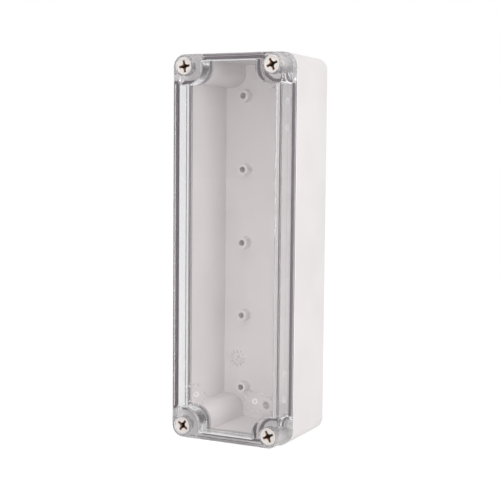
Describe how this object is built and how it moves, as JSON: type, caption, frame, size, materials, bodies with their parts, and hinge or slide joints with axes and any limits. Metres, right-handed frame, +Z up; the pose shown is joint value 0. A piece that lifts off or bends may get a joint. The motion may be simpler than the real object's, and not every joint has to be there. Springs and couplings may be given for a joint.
{
  "type": "junction box",
  "caption": "Tall narrow wall box for electrical parts, with a grey moulded base, a deep clear lid on a gasket and plastic lid screws.",
  "frame": {"origin": "under the middle of the box, at the centre of the bottom of its bounding box", "axes": "+Z up the height, +X to the right as seen from the lid, +Y from the lid to the flat back"},
  "size_m": [0.08, 0.07, 0.25],
  "materials": {
    "case_plastic": "light warm grey moulded plastic, satin",
    "clear_plastic": "clear moulded plastic, polished",
    "gasket_foam": "dark soft seal",
    "screw_plastic": "ivory moulded plastic"
  },
  "bodies": {
    "base": {"base": "case_plastic"},
    "lid": {"lid": "clear_plastic", "gasket": "gasket_foam"},
    "screw_top_left": {"lid_screw_top_left": "screw_plastic"},
    "screw_top_right": {"lid_screw_top_right": "screw_plastic"},
    "screw_bottom_left": {"lid_screw_bottom_left": "screw_plastic"},
    "screw_bottom_right": {"lid_screw_bottom_right": "screw_plastic"}
  },
  "joints": [
    {"name": "lid_lift", "type": "slide", "parent": "base", "child": "lid", "axis": [0, -1, 0], "range_m": [0, 0.06]},
    {"name": "screw_turn_top_left", "type": "hinge", "parent": "lid", "child": "screw_top_left", "pos_m": [-0.0313, -0.025, 0.2413], "axis": [0, -1, 0], "continuous": true},
    {"name": "screw_turn_top_right", "type": "hinge", "parent": "lid", "child": "screw_top_right", "pos_m": [0.0313, -0.025, 0.2413], "axis": [0, -1, 0], "continuous": true},
    {"name": "screw_turn_bottom_left", "type": "hinge", "parent": "lid", "child": "screw_bottom_left", "pos_m": [-0.0313, -0.025, 0.0087], "axis": [0, -1, 0], "continuous": true},
    {"name": "screw_turn_bottom_right", "type": "hinge", "parent": "lid", "child": "screw_bottom_right", "pos_m": [0.0313, -0.025, 0.0087], "axis": [0, -1, 0], "continuous": true}
  ]
}
